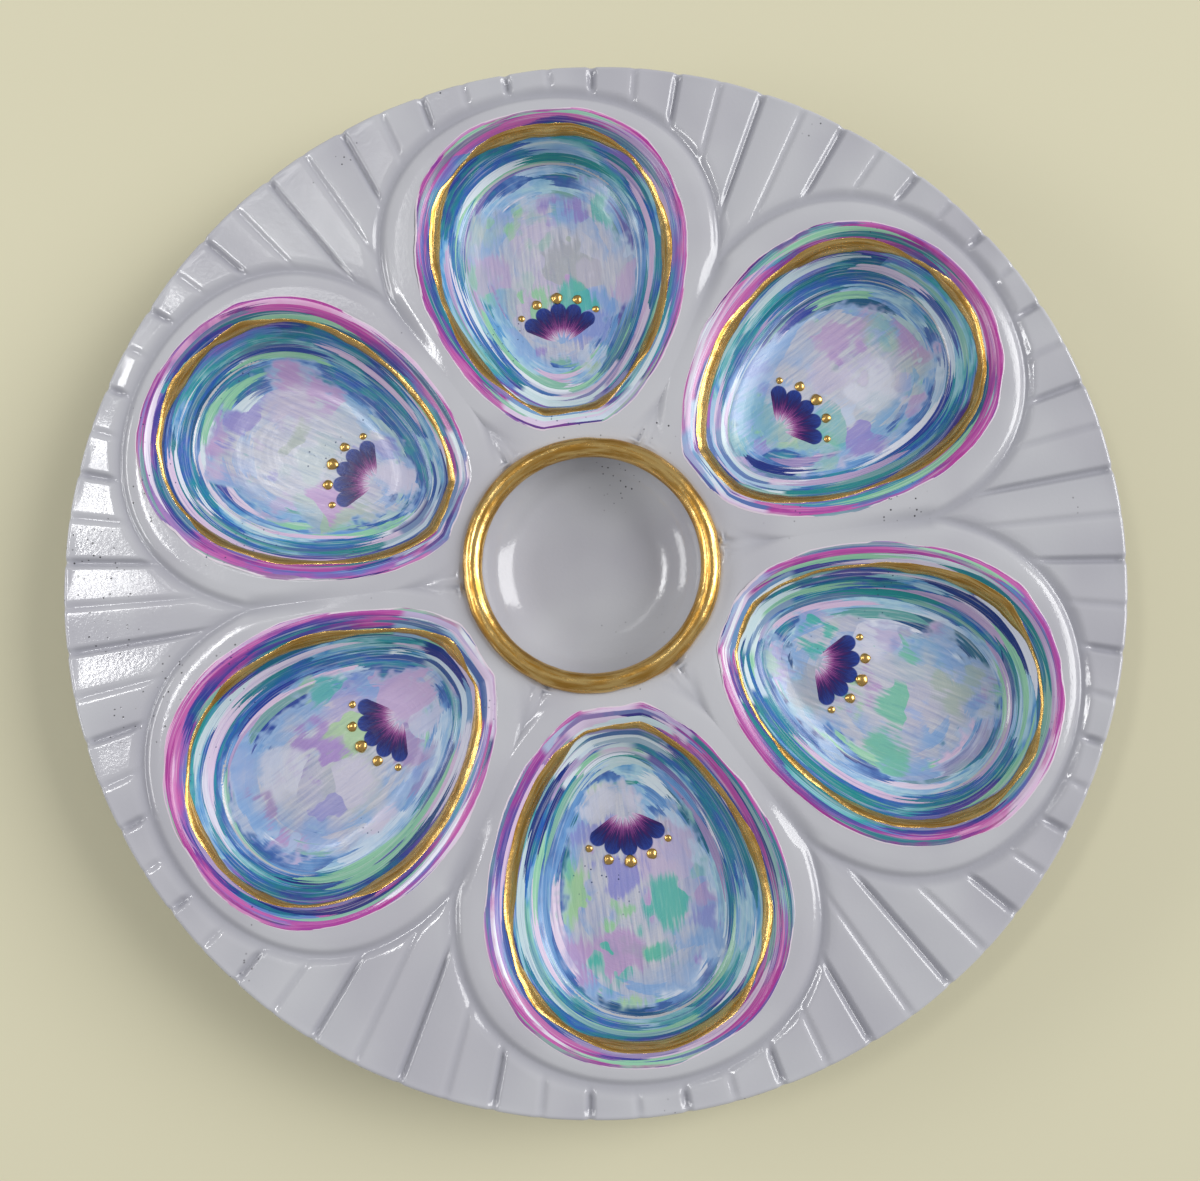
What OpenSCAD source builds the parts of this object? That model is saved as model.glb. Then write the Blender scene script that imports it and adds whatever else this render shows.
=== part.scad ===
// Round oyster plate: six shell-shaped wells in raised collars round a sauce cup,
// with a fluted rim. One ceramic casting carries a gilded bead round the cup,
// and in each well an enamel lining with a raised gilt line and five gilt dots.
// Millimetres, +Z up, origin on the table under the middle of the plate.

/* [Plate] */
// Diameter over the rim
plate_d = 270; // [250:1:310]
// Height of the rim above the table
rim_h = 25; // [22:0.5:31]
// Depth of the dished face, from the rim down to the plate's middle
dish_d = 5.5; // [4:0.5:7]
// Thickness of the ceramic
wall = 4.5; // [3.6:0.1:5.5]
// Thickness of the ceramic at the rim's edge
edge_t = 3.4; // [2.6:0.1:4.2]
// Radius of the rounding on the rim's edge
edge_round = 1.1; // [0.7:0.1:1.5]
// Outer diameter of the foot ring
foot_d = 146; // [120:1:172]
// Width of the flat on which the foot ring stands
foot_w = 5; // [3.5:0.5:7]
// Draw of the foot ring's two sides
foot_draw = 0.8; // [0.5:0.1:1.5]

/* [Wells] */
// Angle of the first well, from +X towards +Y
well_angle = 97.5; // [90:0.5:105]
// Width of a well between its painted edges
well_w = 72; // [64:1:80]
// Length that the flat hinge end cuts off the egg shape
hinge_cut = 1.6; // [1:0.1:2.4]
// Gap from the cup's bead to the hinge end of a well
hinge_gap = 4; // [3:0.5:6]
// Height of a well's floor above the table
well_floor_h = 8; // [7:0.5:9]
// Rise of the floor from its flat middle to its edge
floor_rise = 2; // [1:0.1:3]
// Run of the well's wall at each side
run_side = 13.4; // [11:0.1:16]
// Run of the well's wall at the outer end
run_outer = 8.5; // [6.5:0.1:10.5]
// Run of the well's wall at the hinge end
run_hinge = 12.8; // [10.5:0.1:15.5]

/* [Collars and rim] */
// Plain space between a collar and the rim's edge
rim_gap = 7; // [5.5:0.1:9]
// Width of a collar at the well's outer end
collar_end = 5; // [4:0.1:7]
// Width of a collar at the well's sides
collar_side = 8.5; // [7:0.1:10.5]
// Rise of a collar above the plate's face
collar_rise = 0.8; // [0.5:0.1:1.2]
// Width of the rounded shoulder of a collar
shoulder_w = 2.2; // [1.5:0.1:3]
// Width of the outer slope of the groove round a collar
groove_w = 2.8; // [2:0.1:3.6]
// Depth of the groove round a collar
groove_d = 1; // [0.6:0.1:1.4]
// Width of a deep flute at the rim
deep_w = 2.4; // [1.8:0.1:3]
// Depth of a deep flute
deep_d = 1.1; // [0.7:0.1:1.5]
// Depth of a soft flute
soft_d = 0.5; // [0.3:0.1:0.7]

/* [Sauce cup] */
// Inner diameter of the cup at its mouth
cup_d = 56.2; // [48:0.2:64]
// Width of the gilded bead round the cup
bead_w = 5.4; // [4.4:0.1:6.6]
// Diameter of the cup's flat floor
cup_floor_d = 30; // [24:1:36]
// Height of the cup's floor above the table
cup_floor_h = 7; // [6:0.1:8]

/* [Decoration] */
// Thickness of the enamel lining
paint_t = 0.4; // [0.3:0.05:0.6]
// Height of the gilt line above the enamel
gilt_h = 0.8; // [0.5:0.1:1.1]
// Diameter of the middle gilt dot
dot_d = 3.4; // [2.6:0.1:4]
// Radius of the arc on which the five dots lie
dot_arc_r = 14; // [12:0.5:15]
// Angle from one dot to the next
dot_angle = 24; // [20:1:27]

/* [Hidden] */
wells = 6;
bead_sides = 96;
roll_sides = 48;
dot_sides = 24;
ceramic = [0.69, 0.69, 0.73];
gold = [0.80, 0.62, 0.27];
enamel = [0.52, 0.66, 0.86];

plate_r = plate_d / 2;
face_h = rim_h - dish_d;
cup_r = cup_d / 2;
cup_floor_r = cup_floor_d / 2;
bead_r = cup_r + bead_w;
full_angle = 360;
sector = full_angle / wells;

// A well is an egg shape, long along the plate's radius and narrower towards the hinge.
taper_share = 0.2;
hinge_u = bead_r + hinge_gap;
outer_u = plate_r - rim_gap - collar_end;
lip_len = (outer_u - hinge_u + hinge_cut) / 2;
lip_mid = outer_u - lip_len;
lip_wid = well_w / 2;
floor_len = (outer_u - run_outer - hinge_u - run_hinge) / 2;
floor_mid = outer_u - run_outer - floor_len;
floor_wid = lip_wid - run_side;
collar_len = (outer_u + collar_end - hinge_u + collar_side) / 2;
collar_mid = outer_u + collar_end - collar_len;
collar_wid = lip_wid + collar_side;

// Rings of a well, as shares of the floor and then of the wall, and the wall's rise.
flat_share = 0.7;
wall_shares = [0, 0.26, 0.52, 0.76, 1];
rise_shares = [for (s = wall_shares) smooth(s)];
gilt_ring = 3;
gilt_top_share = 0.28;
hinge_rise_share = 0.2;
hub_shoulder_share = 0.6;

// Flutes stand in pairs, a deep one and a soft one, with five columns of points to a pair.
pairs = 6;
pair_cols = 5;
cols = pairs * pair_cols;
pair_a = sector / pairs;
deep_at_share = 0.25;
soft_at_share = 0.75;
notch_share = 0.25;
groove_reach_share = 0.4;
flute_shares = [0, 0.35, 1, 1, 0.7, 0];
field_rows = len(flute_shares);
deep_half_a = asin(deep_w / 2 / plate_r);
outer_cols = cols / 2;
line_pts = 5;
arc_pts = 3;
inner_pts = 2 * line_pts + arc_pts;
ring_n = outer_cols + inner_pts + 1;
ring_count = len(wall_shares) + 2;
cup_ratio = 2;
cup_n = cup_ratio * wells * (arc_pts + 1);
cup_rows = 5;
seat_edge = bead_w / 8;
under_ratio = 3;
under_n = cols * wells / under_ratio;

function mix(a, b, s) = a + (b - a) * s;
function clamp01(x) = min(1, max(0, x));
function smooth(x) = let (s = clamp01(x)) s * s * (3 - 2 * s);
function turned(p, a) = [p.x * cos(a) - p.y * sin(a), p.x * sin(a) + p.y * cos(a), p.z];
function at(r, a, z) = [r * cos(a), r * sin(a), z];
function axis_a(s) = well_angle + s * sector;

// Height of the plate's face, a shallow dish.
function face(r) = mix(face_h, rim_h, pow(r / plate_r, 2));

// A point of an egg outline in the frame of its well: u outward, v sideways.
function egg(mid, len, wid, t) = [mid + len * cos(t), wid * sin(t) * (1 + taper_share * cos(t))];
function lip(t) = let (p = egg(lip_mid, lip_len, lip_wid, t)) [max(p.x, hinge_u), p.y];
function floor_edge(t) = egg(floor_mid, floor_len, floor_wid, t);
function collar(t) = egg(collar_mid, collar_len, collar_wid, t);
function azimuth(p) = atan2(p.y, p.x);

// The place on the collar's outline that the plate's centre sees at azimuth a.
seek_angle = 115;
seek_steps = 24;
function seek(a, lo, hi, n) =
    let (m = (lo + hi) / 2)
    n == 0 ? m : azimuth(collar(m)) < a ? seek(a, m, hi, n - 1) : seek(a, lo, m, n - 1);
function collar_t(a) = sign(a) * seek(abs(a), 0, seek_angle, seek_steps);

// Columns of the fluted field inside one sector: azimuth and depth of each.
function col_a(j) =
    let (k = j % pair_cols, a = -sector / 2 + floor(j / pair_cols) * pair_a)
    k == 0 ? a
        : k == 4 ? a + pair_a * soft_at_share
        : a + pair_a * deep_at_share + (k - 2) * deep_half_a;
function col_depth(j) = let (k = j % pair_cols) k == 2 ? deep_d : k == 4 ? soft_d : 0;
function groove_r(j) = norm(collar(collar_t(col_a(j))));
apex_r = groove_r(0);

// Rows of one column, from the groove round the collar out to the rim's edge.
function field_r(j, i) =
    let (r0 = groove_r(j), r3 = plate_r - 2 * edge_round)
    let (r1 = r0 + min(groove_w, (r3 - r0) * groove_reach_share))
    i == 0 ? r0
        : i == 1 ? r1
        : i == 2 ? (r1 + r3) / 2
        : i == 3 ? r3
        : i == 4 ? plate_r - edge_round / 2
        : plate_r - col_depth(j) * notch_share;
function field_z(j, i) =
    let (r = field_r(j, i), dip = col_depth(j) * flute_shares[i])
    i == 0 ? face(r) - groove_d
        : i < 4 ? face(r) - dip
        : i == 4 ? rim_h - edge_round / 4 - dip
        : rim_h - edge_t / 2;

// The t values of the points of a well's rings, counted from one side of its sector.
first_angle = collar_t(-sector / 2);
function ring_t(k) =
    k <= outer_cols ? collar_t(col_a(2 * k))
        : -first_angle + (k - outer_cols) * (full_angle + 2 * first_angle) / (inner_pts + 1);

// Edge of a sector inside the apex where two collars meet: its sides, and the arc at the bead.
seat_r = bead_r + seat_edge;
seat_h = face(seat_r);
function side_r(i) = mix(apex_r, seat_r, (i + 1) / line_pts);
function side_z(i) = let (s = (i + 1) / line_pts) face(side_r(i)) - groove_d * (1 - s) * (1 - s);
function inner_edge(k) =
    k < line_pts ? at(side_r(k), sector / 2, side_z(k))
        : k < line_pts + arc_pts
            ? at(seat_r, sector / 2 - (k - line_pts + 1) * sector / (arc_pts + 1), seat_h)
        : at(side_r(inner_pts - 1 - k), -sector / 2, side_z(inner_pts - 1 - k));

// Rings of a well from its floor to the shoulder of its collar.
function collar_z(p, t) =
    face(norm([p.x, p.y])) + collar_rise * mix(hinge_rise_share, 1, (1 + cos(t)) / 2);
function wall_point(t, share, rise) =
    let (a = floor_edge(t), b = lip(t), p = mix(a, b, share))
    [p.x, p.y, mix(well_floor_h + floor_rise, collar_z(b, t), rise)];
function shoulder(k, t) =
    let (p = collar(t), m = [collar_mid, 0])
    let (q = k <= outer_cols ? p - (p - m) * shoulder_w / norm(p - m)
        : let (e = inner_edge(k - outer_cols - 1)) mix(lip(t), [e.x, e.y], hub_shoulder_share))
    [q.x, q.y, collar_z(q, t)];
function ring_point(i, k) =
    let (t = ring_t(k))
    i == 0 ? let (p = egg(floor_mid, floor_len * flat_share, floor_wid * flat_share, t))
            [p.x, p.y, well_floor_h]
        : i < ring_count - 1 ? wall_point(t, wall_shares[i - 1], rise_shares[i - 1])
        : shoulder(k, t);
rings = [for (i = [0:ring_count - 1]) [for (k = [0:ring_n - 1]) ring_point(i, k)]];
floor_point = [floor_mid, 0, well_floor_h];

// Underside: the face less the wall, with a bulge under the cup and one under each well.
foot_out = foot_d / 2;
foot_in = foot_out - foot_w;
function under_t(r) = mix(wall, edge_t, smooth((r - outer_u) / (plate_r - outer_u)));
function cup_under(r) =
    let (s = smooth((r - cup_floor_r - wall) / (bead_r + wall / 2 - cup_floor_r - wall)))
    mix(cup_floor_h - wall, face(r) - wall, s);
function off_share(s) = sin(180 * s);
function bulge_level(u, v, s) =
    let (grow = wall * bulge_grow_share * off_share(s), len = mix(floor_len, lip_len, s) + grow)
    let (c = (u - mix(floor_mid, lip_mid, s)) / len, wid = mix(floor_wid, lip_wid, s) + grow)
    norm([c, v / (wid * max(taper_share, 1 + taper_share * c))]);
function bulge_share(u, v, lo, hi, n) =
    let (m = (lo + hi) / 2)
    n == 0 ? m : bulge_level(u, v, m) > 1 ? bulge_share(u, v, m, hi, n - 1)
        : bulge_share(u, v, lo, m, n - 1);
function well_under(r, a) =
    let (s = bulge_share(r * cos(a), r * sin(a), 0, 1, bulge_steps))
    mix(well_floor_h, face(r), smooth(s)) - under_t(r) * (1 - bulge_thin_share * off_share(s));
function under_z(r, a) = min(cup_under(r), well_under(r, a));
bulge_grow_share = 0.8;
bulge_thin_share = 0.35;
bulge_steps = 12;
cup_row_shares = [0.45, 0.68, 0.86, 1];
mid_row_shares = [0.12, 0.27, 0.45, 0.72];
outer_row_shares = [0.2, 0.42, 0.58, 0.68, 0.77, 0.86, 0.94];
foot_row = len(cup_row_shares) + len(mid_row_shares);
under_r = concat(
    [for (s = cup_row_shares) bead_r * s],
    [for (s = mid_row_shares) mix(bead_r, foot_in - foot_draw, s)],
    [foot_in - foot_draw, foot_in, foot_out, foot_out + foot_draw],
    [for (s = outer_row_shares) mix(foot_out + foot_draw, plate_r, s)],
    [plate_r - edge_round]
);
under_rows = len(under_r);
function under_point(i, j) =
    let (a = j * full_angle / under_n, r = under_r[i])
    let (off = a % sector > sector / 2 ? a % sector - sector : a % sector)
    let (z = i == foot_row + 1 || i == foot_row + 2 ? 0
        : i == under_rows - 1 ? rim_h - edge_t
        : under_z(r, off))
    at(r, well_angle + a, z);

// Cup: a flat seat for the bead, then a bowl whose wall is a quarter of an ellipse.
function cup_point(i, j) =
    let (a = well_angle - sector / 2 + j * full_angle / cup_n, h = (cup_rows - i) * 90 / cup_rows)
    at(
        mix(cup_floor_r, cup_r - seat_edge / 2, sin(h)),
        a,
        mix(seat_h, cup_floor_h, cos(h))
    );

// All the points of the casting, block by block, and where each block starts.
well_block = ring_count * ring_n + 1;
field_at = wells * well_block;
field_n = wells * cols;
side_at = field_at + field_rows * field_n;
arc_at = side_at + wells * line_pts;
cup_at = arc_at + wells * arc_pts;
under_at = cup_at + (cup_rows + 1) * cup_n + 1;
body_points = concat(
    [for (s = [0:wells - 1]) for (p = concat([for (ring = rings) each ring], [floor_point]))
        turned(p, axis_a(s))],
    [for (i = [0:field_rows - 1]) for (s = [0:wells - 1]) for (j = [0:cols - 1])
        at(field_r(j, i), axis_a(s) + col_a(j), field_z(j, i))],
    [for (s = [0:wells - 1]) for (i = [0:line_pts - 1]) turned(inner_edge(i), axis_a(s))],
    [for (s = [0:wells - 1]) for (i = [0:arc_pts - 1])
        turned(inner_edge(line_pts + i), axis_a(s))],
    [for (i = [0:cup_rows]) for (j = [0:cup_n - 1]) cup_point(i, j)],
    [[0, 0, cup_floor_h]],
    [for (i = [0:under_rows - 1]) for (j = [0:under_n - 1]) under_point(i, j)],
    [[0, 0, cup_floor_h - wall]]
);

// Faces run clockwise as seen from outside.
function loop(start, n) = [for (k = [0:n - 1]) start + k];
function band(inner, outer) =
    let (n = len(inner))
    [for (k = [0:n - 1]) let (m = (k + 1) % n)
        each [[inner[k], inner[m], outer[m]], [inner[k], outer[m], outer[k]]]];
function fan(tip, ring) = let (n = len(ring)) [for (k = [0:n - 1]) [tip, ring[(k + 1) % n], ring[k]]];
function fine_band(inner, outer, ratio) =
    let (n = len(inner), half = floor(ratio / 2), total = len(outer))
    [for (k = [0:n - 1]) let (m = (k + 1) % n) each concat(
        [[inner[k], inner[m], outer[(k * ratio + half) % total]]],
        [for (j = [0:half - 1])
            [inner[k], outer[k * ratio + j + 1], outer[k * ratio + j]]],
        [for (j = [half:ratio - 1])
            [inner[m], outer[(k * ratio + j + 1) % total], outer[(k * ratio + j) % total]]]
    )];
function flipped(faces) = [for (f = faces) [f[2], f[1], f[0]]];

function ring_ids(s, i) = loop(s * well_block + i * ring_n, ring_n);
function field_id(s, j, i) = field_at + i * field_n + (s * cols + j) % field_n;
function side_ids(s) = loop(side_at + ((s + wells) % wells) * line_pts, line_pts);
function arc_ids(s) = loop(arc_at + s * arc_pts, arc_pts);
function reversed(list) = [for (i = [len(list) - 1:-1:0]) list[i]];
function inner_ids(s) = concat(side_ids(s), arc_ids(s), reversed(side_ids(s - 1)));
function well_faces(s) = concat(
    fan(s * well_block + ring_count * ring_n, ring_ids(s, 0)),
    [for (i = [1:ring_count - 1]) each band(ring_ids(s, i - 1), ring_ids(s, i))]
);
function collar_faces(s) =
    let (ring = ring_ids(s, ring_count - 1))
    let (edge = concat([field_id(s, cols, 0)], inner_ids(s), [field_id(s, 0, 0)]))
    concat(
        [for (k = [0:outer_cols - 1]) each [
            [ring[k], ring[k + 1], field_id(s, 2 * k + 1, 0)],
            [ring[k], field_id(s, 2 * k + 1, 0), field_id(s, 2 * k, 0)],
            [ring[k + 1], field_id(s, 2 * k + 2, 0), field_id(s, 2 * k + 1, 0)]
        ]],
        [for (k = [0:inner_pts]) let (a = ring[outer_cols + k], b = ring[(outer_cols + k + 1) % ring_n])
            each [[a, b, edge[k + 1]], [a, edge[k + 1], edge[k]]]]
    );
function field_loop(i) = loop(field_at + i * field_n, field_n);
function under_loop(i) = loop(under_at + i * under_n, under_n);
function cup_loop(i) = loop(cup_at + i * cup_n, cup_n);
seat_loop = [for (s = [0:wells - 1]) each concat([side_ids(s - 1)[line_pts - 1]], reversed(arc_ids(s)))];
cup_mid_id = under_at - 1;
under_mid_id = under_at + under_rows * under_n;
// The underside's columns start on a well's axis, and every third column of the rim meets one.
axis_col = cols / 2;
rim_loop = [for (j = [0:field_n - 1])
    field_at + (field_rows - 1) * field_n + (j + axis_col) % field_n];
body_faces = concat(
    [for (s = [0:wells - 1]) each well_faces(s)],
    [for (s = [0:wells - 1]) each collar_faces(s)],
    [for (i = [1:field_rows - 1]) each band(field_loop(i - 1), field_loop(i))],
    flipped(fine_band(seat_loop, cup_loop(0), cup_ratio)),
    [for (i = [1:cup_rows]) each band(cup_loop(i), cup_loop(i - 1))],
    fan(cup_mid_id, cup_loop(cup_rows)),
    flipped(fan(under_mid_id, under_loop(0))),
    [for (i = [1:under_rows - 1]) each flipped(band(under_loop(i - 1), under_loop(i)))],
    flipped(fine_band(under_loop(under_rows - 1), rim_loop, under_ratio))
);

module plate_body() {
    color(ceramic)
        polyhedron(points = body_points, faces = body_faces, convexity = 8);
}

// The bead is a half round that stands on the flat seat round the cup.
module cup_rim_gilding() {
    color(gold)
        rotate_extrude($fn = bead_sides)
            translate([cup_r + bead_w / 2, seat_h])
                difference() {
                    circle(d = bead_w, $fn = roll_sides);
                    translate([-bead_w, -bead_w])
                        square([2 * bead_w, bead_w]);
                }
}

// The lining lies on the well's own facets, from the floor to the painted edge.
lining_rings = ring_count - 1;
function raised(p, h) = [p.x, p.y, p.z + h];
lining_under = concat([for (i = [0:lining_rings - 1]) each rings[i]], [floor_point]);
lining_top = [for (p = lining_under) raised(p, paint_t)];
lining_n = len(lining_under);
function lining_sheet(start) = concat(
    fan(start + lining_n - 1, loop(start, ring_n)),
    [for (i = [1:lining_rings - 1])
        each band(loop(start + (i - 1) * ring_n, ring_n), loop(start + i * ring_n, ring_n))]
);
edge_start = (lining_rings - 1) * ring_n;
lining_faces = concat(
    lining_sheet(0),
    flipped(lining_sheet(lining_n)),
    band(loop(edge_start, ring_n), loop(lining_n + edge_start, ring_n))
);

module well_lining(number) {
    color(enamel)
        rotate(axis_a(number - 1))
            polyhedron(points = concat(lining_top, lining_under), faces = lining_faces, convexity = 4);
}

// The gilt line covers one band of the lining, and its top is narrower than its foot.
gilt_in = [for (p = rings[gilt_ring]) raised(p, paint_t)];
gilt_out = [for (p = rings[gilt_ring + 1]) raised(p, paint_t)];
gilt_points = concat(
    gilt_in,
    gilt_out,
    [for (k = [0:ring_n - 1]) raised(mix(gilt_in[k], gilt_out[k], 1 - gilt_top_share), gilt_h)],
    [for (k = [0:ring_n - 1]) raised(mix(gilt_in[k], gilt_out[k], gilt_top_share), gilt_h)]
);
gilt_loops = [for (i = [0:3]) loop(i * ring_n, ring_n)];
gilt_faces = concat(
    flipped(band(gilt_loops[0], gilt_loops[1])),
    flipped(band(gilt_loops[1], gilt_loops[2])),
    flipped(band(gilt_loops[2], gilt_loops[3])),
    flipped(band(gilt_loops[3], gilt_loops[0]))
);

// Five dots lie in an arc on the flat middle of the floor, smaller towards its ends.
// Its middle is set off from the floor's middle towards the hinge.
dot_size_shares = [0.6, 0.8, 1, 0.8, 0.6];
dot_off_share = 0.6;
dot_u = floor_mid - floor_len * dot_off_share;
module gilt_dots() {
    for (i = [0:len(dot_size_shares) - 1]) {
        a = (i - (len(dot_size_shares) - 1) / 2) * dot_angle;
        d = dot_d * dot_size_shares[i];
        translate([dot_u, 0, 0] + at(dot_arc_r, a, well_floor_h + paint_t))
            difference() {
                sphere(d = d, $fn = dot_sides);
                translate([-d, -d, -d])
                    cube([2 * d, 2 * d, d]);
            }
    }
}

module well_gilding(number) {
    color(gold)
        rotate(axis_a(number - 1)) {
            polyhedron(points = gilt_points, faces = gilt_faces, convexity = 4);
            gilt_dots();
        }
}

plate_body();
cup_rim_gilding();
for (i = [1:wells]) {
    well_lining(i);
    well_gilding(i);
}
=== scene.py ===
# %% [markdown]
# An oyster plate, 270 mm across, seen from above: one ceramic casting with a fluted rim,
# six shell-shaped wells in raised collars, and a sauce cup behind a gilded bead.
# Its measured solids are loaded first and never change. Every piece made here is in
# metres in the same frame, with +Z up and the origin on the table under the cup.

# %% Load the measured plate
import math

import bmesh
import bpy
from mathutils import Matrix, Vector, noise


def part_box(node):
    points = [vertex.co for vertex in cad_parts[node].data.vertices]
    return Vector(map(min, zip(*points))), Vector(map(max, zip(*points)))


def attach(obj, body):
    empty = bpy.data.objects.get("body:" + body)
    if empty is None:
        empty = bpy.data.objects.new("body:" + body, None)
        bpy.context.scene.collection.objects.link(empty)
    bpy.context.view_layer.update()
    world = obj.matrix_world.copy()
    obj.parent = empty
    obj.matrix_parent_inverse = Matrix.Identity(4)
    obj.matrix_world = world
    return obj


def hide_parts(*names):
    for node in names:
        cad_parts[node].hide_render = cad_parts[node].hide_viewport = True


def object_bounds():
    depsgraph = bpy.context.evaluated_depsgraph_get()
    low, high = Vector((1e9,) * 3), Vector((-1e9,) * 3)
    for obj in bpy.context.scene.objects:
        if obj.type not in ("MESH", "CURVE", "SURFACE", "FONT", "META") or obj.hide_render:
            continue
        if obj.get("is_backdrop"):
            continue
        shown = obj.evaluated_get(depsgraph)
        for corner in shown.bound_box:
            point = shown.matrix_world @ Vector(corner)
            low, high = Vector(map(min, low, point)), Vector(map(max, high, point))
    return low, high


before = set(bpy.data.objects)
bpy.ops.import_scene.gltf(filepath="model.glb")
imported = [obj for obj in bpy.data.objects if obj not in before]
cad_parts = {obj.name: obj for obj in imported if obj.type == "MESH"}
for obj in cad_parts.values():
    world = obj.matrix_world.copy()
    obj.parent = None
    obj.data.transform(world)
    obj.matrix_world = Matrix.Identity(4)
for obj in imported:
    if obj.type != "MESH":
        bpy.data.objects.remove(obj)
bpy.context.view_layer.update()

MM = 0.001

# %% [markdown]
# The camera. The photograph was taken by hand, almost straight above the plate: the rim is
# a slightly flattened circle, and the evenly spaced flutes crowd a little at the top.
# Those two clues fix the camera's height, its small tilt and its angle of view.

# %% Camera
IMAGE_W = 1200
FOCAL_PX = 1083.3
SENSOR_W = 36
CAMERA_AT = Vector((7.7, -42.2, 296.3)) * MM
CAMERA_TILT = (7.26, 1.13)

camera_data = bpy.data.cameras.new("camera")
camera_data.sensor_fit = "HORIZONTAL"
camera_data.sensor_width = SENSOR_W
camera_data.lens = SENSOR_W * FOCAL_PX / IMAGE_W
camera_data.clip_start = 10 * MM
camera = bpy.data.objects.new("camera", camera_data)
camera.location = CAMERA_AT
camera.rotation_euler = [math.radians(a) for a in CAMERA_TILT] + [0]
bpy.context.collection.objects.link(camera)
bpy.context.scene.camera = camera
print("lens in mm:", round(camera_data.lens, 1))

# %% [markdown]
# Sizes. The overall sizes come from the loaded solids. The others are those that the
# solids were drawn with, so that each surface here lies on the measured one.

# %% Sizes of the casting
bead_low, bead_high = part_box("cup_rim_gilding")
PLATE_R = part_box("plate_body")[1].x
RIM_H = 25 * MM
FACE_H = 19.5 * MM
WALL = 4.5 * MM
EDGE_T = 3.4 * MM
EDGE_ROUND = 1.1 * MM
FOOT_R = 73 * MM
FOOT_W = 5 * MM

WELLS = 6
SECTOR = math.tau / WELLS
FIRST_WELL = math.radians(97.5)
TAPER = 0.2
BEAD_R = bead_high.x
BEAD_W = 5.4 * MM
CUP_R = BEAD_R - BEAD_W
CUP_FLOOR_R = 15 * MM
CUP_FLOOR_H = 7 * MM
SEAT_R = BEAD_R + BEAD_W / 8

# A well keeps its gaps to rim and cup, its walls run inwards, and its collar lies outside.
RIM_GAP = 7 * MM
HINGE_GAP = 4 * MM
HINGE_CUT = 1.6 * MM
RUN_OUTER = 8.5 * MM
RUN_SIDE = 13.4 * MM
RUN_HINGE = 12.8 * MM
COLLAR_END = 5 * MM
COLLAR_SIDE = 8.5 * MM
HINGE_U = BEAD_R + HINGE_GAP
OUTER_U = PLATE_R - RIM_GAP - COLLAR_END
LIP_LEN = (OUTER_U - HINGE_U + HINGE_CUT) / 2
LIP_MID = OUTER_U - LIP_LEN
LIP_WID = 36 * MM
FLOOR_LEN = (OUTER_U - RUN_OUTER - HINGE_U - RUN_HINGE) / 2
FLOOR_MID = OUTER_U - RUN_OUTER - FLOOR_LEN
FLOOR_WID = LIP_WID - RUN_SIDE
COLLAR_LEN = (OUTER_U + COLLAR_END - HINGE_U + COLLAR_SIDE) / 2
COLLAR_MID = OUTER_U + COLLAR_END - COLLAR_LEN
COLLAR_WID = LIP_WID + COLLAR_SIDE
WELL_FLOOR_H = 8 * MM
FLOOR_RISE = 2 * MM
FLAT_SHARE = 0.7

COLLAR_RISE = 0.8 * MM
HINGE_RISE_SHARE = 0.2
HUB_RISE_W = 5 * MM
SHOULDER_W = 2.2 * MM
GROOVE_W = 2.8 * MM
GROOVE_D = 1 * MM
DEEP_D = 1.1 * MM
SOFT_D = 0.5 * MM
print("plate radius in mm:", round(PLATE_R / MM, 2), "bead radius:", round(BEAD_R / MM, 2))

# %% [markdown]
# Curves and heights. The face of the plate is a shallow dish, and everything moulded on
# it is a function of where a point lies. A sculpting brush could raise the collars and
# press the flutes by eye. Formulas were chosen because all six sectors then match, the
# flutes stay evenly spaced, and each edge is as soft as its width says.


# %% Curves of one well
SEEK_ANGLE = math.radians(115)
SEEK_STEPS = 30
SLOPE_STEP = 0.1 * MM


def mix(a, b, share):
    return a + (b - a) * share


def smooth(x):
    x = min(1, max(0, x))
    return x * x * (3 - 2 * x)


def face_h(r):
    return mix(FACE_H, RIM_H, (r / PLATE_R) ** 2)


def egg(mid, length, width, t):
    return Vector((mid + length * math.cos(t), width * math.sin(t) * (1 + TAPER * math.cos(t))))


def lip(t):
    point = egg(LIP_MID, LIP_LEN, LIP_WID, t)
    point.x = max(point.x, HINGE_U)
    return point


def collar(t):
    return egg(COLLAR_MID, COLLAR_LEN, COLLAR_WID, t)


def egg_level(mid, length, width, u, v):
    c = (u - mid) / length
    return math.hypot(c, v / (width * max(TAPER, 1 + TAPER * c)))


def collar_distance(u, v):
    """How far outside the collar's outline a point lies: its level, divided by the slope there."""
    here = egg_level(COLLAR_MID, COLLAR_LEN, COLLAR_WID, u, v)
    du = egg_level(COLLAR_MID, COLLAR_LEN, COLLAR_WID, u + SLOPE_STEP, v) - here
    dv = egg_level(COLLAR_MID, COLLAR_LEN, COLLAR_WID, u, v + SLOPE_STEP) - here
    return (here - 1) * SLOPE_STEP / max(math.hypot(du, dv), SLOPE_STEP / PLATE_R)


def collar_t(angle):
    """The place on the collar's outline that the plate's centre sees at an angle, by halving."""
    low, high = 0, SEEK_ANGLE
    for _ in range(SEEK_STEPS):
        half = (low + high) / 2
        point = collar(half)
        if math.atan2(point.y, point.x) < abs(angle):
            low = half
        else:
            high = half
    return math.copysign(low, angle)


APEX_R = collar(collar_t(SECTOR / 2)).length
print("two collars meet at radius", round(APEX_R / MM, 1), "mm")

# %% [markdown]
# The flutes stand in pairs every ten degrees, a deep one and a soft one. Between two deep
# ones the rim bows up a little like a scallop shell. They fade out towards the groove
# round each collar and are shallower where the rim rounds over.

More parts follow.
